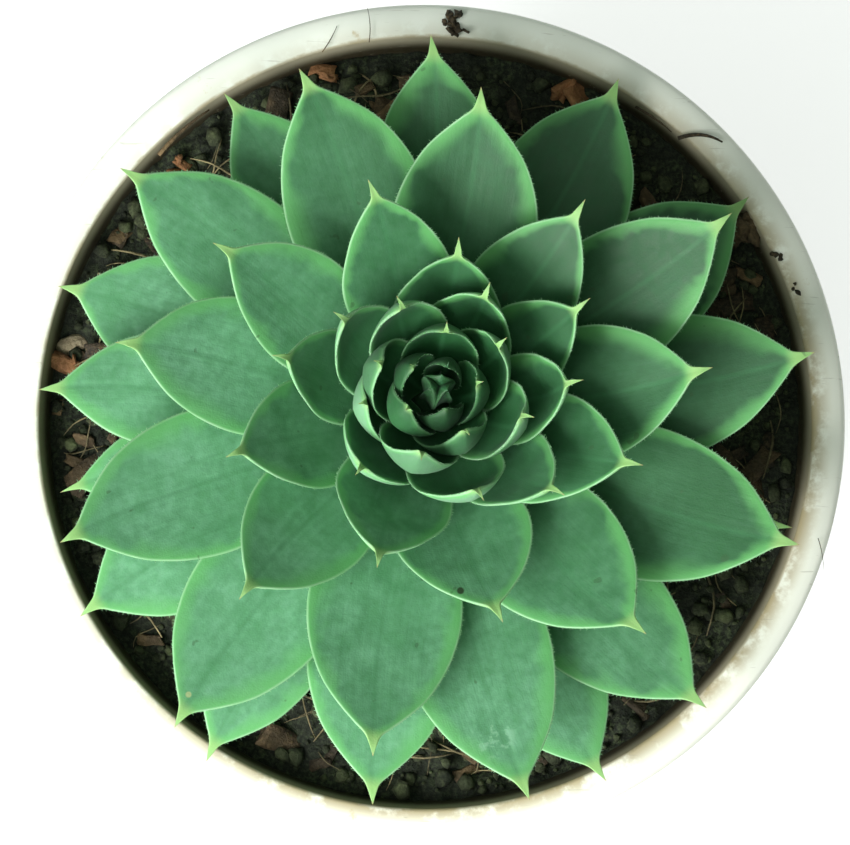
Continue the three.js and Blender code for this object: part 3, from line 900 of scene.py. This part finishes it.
def leaf_skin():
    """Green flesh under a waxy bloom, yellower near the margin, with a pale horny edge."""
    material, tree, shader = new_material("leaf_skin")
    place = node(tree, "ShaderNodeTexCoord").outputs["Object"]
    read = {
        name: node(tree, "ShaderNodeAttribute", attribute_name=name).outputs["Fac"]
        for name in ("edge", "spine", "rib", "upper", "age", "tint", "run")
    }
    clouds = speckle(tree, place, 190, 4, 0.6, 0.3)
    patches = speckle(tree, place, 75, 3, 0.6, 0.4)
    mottle = speckle(tree, place, 650, 3, 0.6)
    pores = speckle(tree, place, 3600, 2, 0.5)
    lengthways = node(
        tree, "ShaderNodeCombineXYZ",
        {
            "X": product(tree, read["rib"], 1.2),
            "Y": product(tree, read["run"], 0.12),
            "Z": product(tree, read["tint"], 40),
        },
    ).outputs["Vector"]
    veins = speckle(tree, lengthways, 1.0, 3, 0.55)

    flesh = mix(tree, ramp(tree, clouds, 0.3, 0.7), (0.035, 0.175, 0.058, 1), (0.060, 0.245, 0.088, 1))
    young = ramp(tree, read["age"], 0.45, 0.95)
    flesh = mix(tree, product(tree, young, 0.9), flesh, (0.004, 0.085, 0.012, 1))
    bloom = ramp(tree, mottle, 0.25, 0.75, 0.45, 0.85)
    bloom = product(tree, bloom, ramp(tree, patches, 0.3, 0.7, 0.5, 1.1))
    bloom = product(tree, bloom, ramp(tree, young, 0.0, 1.0, 1.0, 0.06))
    spot = node(tree, "ShaderNodeSeparateXYZ", {"Vector": place}).outputs
    # Painted light and shade: towards -X and -Y the bloom is stronger, towards +X and +Y the flesh darkens
    # and the bloom thins, as the window light falls off across the rosette.
    painted_shade_side = ramp(tree, maths(tree, "ADD", spot["X"], product(tree, spot["Y"], 0.8)), -0.05, 0.045)
    bloom = product(tree, bloom, ramp(tree, painted_shade_side, 0.0, 1.0, 1.2, 0.16))
    flesh = mix(tree, product(tree, painted_shade_side, 0.9), flesh, (0.012, 0.072, 0.021, 1))
    # Painted shade: the innermost leaves go near black-green, the shade deep in the heart, over their own
    # deeper green.
    heart = ramp(tree, read["age"], 0.93, 0.995)
    flesh = mix(tree, product(tree, heart, 0.9), flesh, (0.001, 0.035, 0.004, 1))
    bloom = product(tree, bloom, ramp(tree, veins, 0.3, 0.7, 0.86, 1.06), clamp=True)
    bloomed = mix(tree, bloom, flesh, (0.165, 0.405, 0.235, 1))

    # The belly is paler than the upper face, with more bloom on it.
    below = maths(tree, "SUBTRACT", 1.0, read["upper"])
    below = product(tree, below, ramp(tree, read["age"], 0.72, 0.94, 0.7, 0.04))
    bloomed = mix(tree, below, bloomed, (0.27, 0.53, 0.31, 1))

    # The margin: a yellow-green band of uneven width, then a thin pale horny line.
    reach = maths(tree, "DIVIDE", read["edge"], ramp(tree, patches, 0.35, 0.65, 0.6, 2.2))
    reach = maths(tree, "DIVIDE", reach, ramp(tree, read["age"], 0.3, 1.0, 1.0, 0.35))
    old_band = ramp(tree, read["age"], 0.75, 0.99, 1.0, 0.05)
    band = product(tree, ramp(tree, reach, 2.2, 0.2, 0.0, 0.75), old_band)
    banded = mix(tree, band, bloomed, (0.13, 0.43, 0.13, 1))
    line = product(tree, ramp(tree, read["edge"], 0.42, 0.1), ramp(tree, clouds, 0.3, 0.7, 0.45, 0.8))
    line = product(tree, line, ramp(tree, read["age"], 0.8, 0.99, 1.0, 0.05))
    edged = mix(tree, line, banded, (0.33, 0.58, 0.34, 1))
    # Painted shade: the upper face is darker green along the midrib's crease.
    painted_crease_shade = ramp(tree, maths(tree, "ABSOLUTE", read["rib"]), 0.6, 0.05, 0.0, 0.3)
    ribbed = mix(tree, product(tree, painted_crease_shade, read["upper"]), edged, (0.05, 0.20, 0.08, 1))
    grown = maths(tree, "SUBTRACT", 1.0, heart)
    spine = product(tree, ramp(tree, read["spine"], 0.3, 0.62, 0.0, 0.85), grown)
    spined = mix(tree, spine, ribbed, (0.27, 0.48, 0.16, 1))
    tip = product(tree, ramp(tree, read["spine"], 0.88, 0.99, 0.0, 0.7), grown)
    tipped = mix(tree, tip, spined, (0.42, 0.28, 0.14, 1))
    specks = ramp(tree, speckle(tree, place, 420, 2, 0.4), 0.735, 0.76)
    specked = mix(tree, product(tree, specks, 0.5), tipped, (0.04, 0.10, 0.04, 1))
    scabbed = mix(tree, mark(tree, spot, -0.0332, -0.0388, 0.0005), specked, (0.36, 0.44, 0.22, 1))
    bruised = mix(tree, mark(tree, spot, 0.0040, -0.0246, 0.0006), scabbed, (0.03, 0.06, 0.025, 1))
    scuffs = product(tree, mark(tree, spot, 0.0088, -0.0445, 0.0034), ramp(tree, mottle, 0.52, 0.62))
    finished = mix(tree, product(tree, scuffs, 0.4), bruised, (0.30, 0.55, 0.37, 1))
    tree.links.new(finished, shader.inputs["Base Color"])

    tree.links.new(ramp(tree, mottle, 0.2, 0.8, 0.5, 0.66), shader.inputs["Roughness"])
    height = maths(tree, "ADD", product(tree, pores, 0.25), product(tree, veins, 0.5))
    height = maths(tree, "ADD", height, product(tree, clouds, 0.6))
    bumped(tree, shader, height, 0.35, 0.0003)
    shader.inputs["Subsurface Weight"].default_value = 0.2
    shader.inputs["Subsurface Radius"].default_value = (0.0006, 0.0016, 0.0005)
    shader.inputs["Specular IOR Level"].default_value = 0.35
    shader.inputs["Sheen Weight"].default_value = 0.05
    shader.inputs["Sheen Tint"].default_value = (0.75, 1.0, 0.85, 1)
    return material


skin = leaf_skin()
leaf_names = sorted(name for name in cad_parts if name.startswith("leaf_"))
for index, name in enumerate(leaf_names):
    age = index / (len(leaf_names) - 1)
    blade = Blade(*drawn_in(*leaf_rings(name), age))
    leaf = leaf_bmesh(blade, age, dice.random())
    margin_hairs(leaf, blade)
    made(f"{name}_blade", leaf, skin, "leaf", name)


# ---- Bud ----
# The three youngest leaves, still closed round each other at the growing point. They are keeled
# like the leaves round them, and meet in a narrow dark Y.

BUD_LEAVES = 3
BUD_FIRST_HEADING = 80
# Stations up a bud leaf: the share of its height, then in millimetres the keel's distance from the
# bud's middle, the half width and the thickness.
BUD_STATIONS = (
    (0.03, 0.9, 0.8, 0.6), (0.16, 1.7, 1.4, 1.2), (0.32, 2.3, 1.95, 1.8), (0.50, 2.6, 2.2, 2.2),
    (0.68, 2.5, 2.1, 2.1), (0.80, 2.25, 1.8, 1.8), (0.88, 1.95, 1.35, 1.3), (0.93, 1.7, 0.95, 0.9),
    (0.96, 1.5, 0.55, 0.5), (0.985, 1.35, 0.25, 0.2),
)
# Points round a bud leaf: the share of the half width, and the share of the thickness in from the keel.
BUD_SECTION = (
    (1, 0.55), (0.7, 0.35), (0, 0), (-0.7, 0.35), (-1, 0.55), (-0.75, 0.85), (0, 1), (0.75, 0.85),
)


def bud_rings(low, high, heading):
    """The foot, the tip and the rings of a bud leaf, in the order of a leaf's CAD rings."""
    outward = Vector((math.cos(heading), math.sin(heading), 0))
    sideways = Vector((-math.sin(heading), math.cos(heading), 0))

    def spot(share, reach, aside=0.0):
        return stem_line(low.z + share * (high.z - low.z)) + (outward * reach + sideways * aside) / 1000

    rings = []
    for share, keel, half_width, thickness in BUD_STATIONS:
        ring = [spot(share, keel - inset * thickness, aside * half_width) for aside, inset in BUD_SECTION]
        rings.append(ring)
    return (spot(0, 0.5), spot(1, BUD_STATIONS[-1][1])), rings


bud_low, bud_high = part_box("bud")
bud = bmesh.new()
for turn in range(BUD_LEAVES):
    heading = math.radians(BUD_FIRST_HEADING + turn * 360 / BUD_LEAVES)
    petal = bit_mesh(leaf_bmesh(Blade(*bud_rings(bud_low, bud_high, heading)), 1.0, dice.random()))
    bud.from_mesh(petal)
    bpy.data.meshes.remove(petal)
made("bud_leaves", bud, skin, "leaf", "bud")


# ---- Studio ----
# A plain pale floor, a soft window light from the near left, a wide light overhead and a camera that
# looks down into the pot.

VIEW_DISTANCE = 0.5
VIEW_TILT = math.radians(4)
VIEW_HEADING = math.radians(246)
VIEW_LENS = 148.6
VIEW_SHIFT = (-0.00224, -0.00294)


def studio_floor():
    bm = bmesh.new()
    bmesh.ops.create_grid(bm, x_segments=1, y_segments=1, size=1.5)
    mesh = bpy.data.meshes.new("floor")
    bm.to_mesh(mesh)
    bm.free()
    material, tree, shader = new_material("floor_paper")
    shader.inputs["Base Color"].default_value = (0.93, 0.94, 0.93, 1)
    shader.inputs["Roughness"].default_value = 0.9
    shader.inputs["Emission Color"].default_value = (1.0, 1.0, 1.0, 1)
    shader.inputs["Emission Strength"].default_value = 0.62
    mesh.materials.append(material)
    floor = bpy.data.objects.new("floor", mesh)
    bpy.context.scene.collection.objects.link(floor)


def soft_lamp(name, place, size, power, colour):
    """A square light that is aimed at the middle of the pot's mouth."""
    light = bpy.data.lights.new(name, "AREA")
    light.color = colour
    light.energy = power
    light.size = size
    holder = bpy.data.objects.new(name, light)
    holder.visible_camera = False
    holder.location = place
    aim = Vector((0, 0, POT_HEIGHT)) - Vector(place)
    holder.rotation_mode = "QUATERNION"
    holder.rotation_quaternion = aim.to_track_quat("-Z", "Y")
    bpy.context.scene.collection.objects.link(holder)


def camera():
    """Looks at the middle of the pot's mouth from nearly straight above."""
    target = Vector((0, 0, POT_HEIGHT))
    back = Vector((
        math.sin(VIEW_TILT) * math.cos(VIEW_HEADING),
        math.sin(VIEW_TILT) * math.sin(VIEW_HEADING),
        math.cos(VIEW_TILT),
    ))
    right = Vector((0, 1, 0)).cross(back).normalized()
    up = back.cross(right)
    data = bpy.data.cameras.new("camera")
    data.lens = VIEW_LENS
    data.shift_x, data.shift_y = VIEW_SHIFT
    data.clip_start = 0.01
    holder = bpy.data.objects.new("camera", data)
    place = Matrix((right, up, back)).transposed().to_4x4()
    place.translation = target + back * VIEW_DISTANCE
    holder.matrix_world = place
    bpy.context.scene.collection.objects.link(holder)
    bpy.context.scene.camera = holder


studio_floor()
soft_lamp("window", (-0.18, -0.16, 0.28), 0.2, 1.8, (1.0, 1.0, 0.98))
soft_lamp("overhead", (-0.3, -0.2, 1.1), 1.0, 4.2, (0.95, 1.0, 0.95))
world = bpy.data.worlds.new("studio")
world.use_nodes = True
world.node_tree.nodes["Background"].inputs["Color"].default_value = (0.80, 1.0, 0.83, 1)
world.node_tree.nodes["Background"].inputs["Strength"].default_value = 0.16
bpy.context.scene.world = world
bpy.context.scene.view_settings.view_transform = "Standard"
camera()
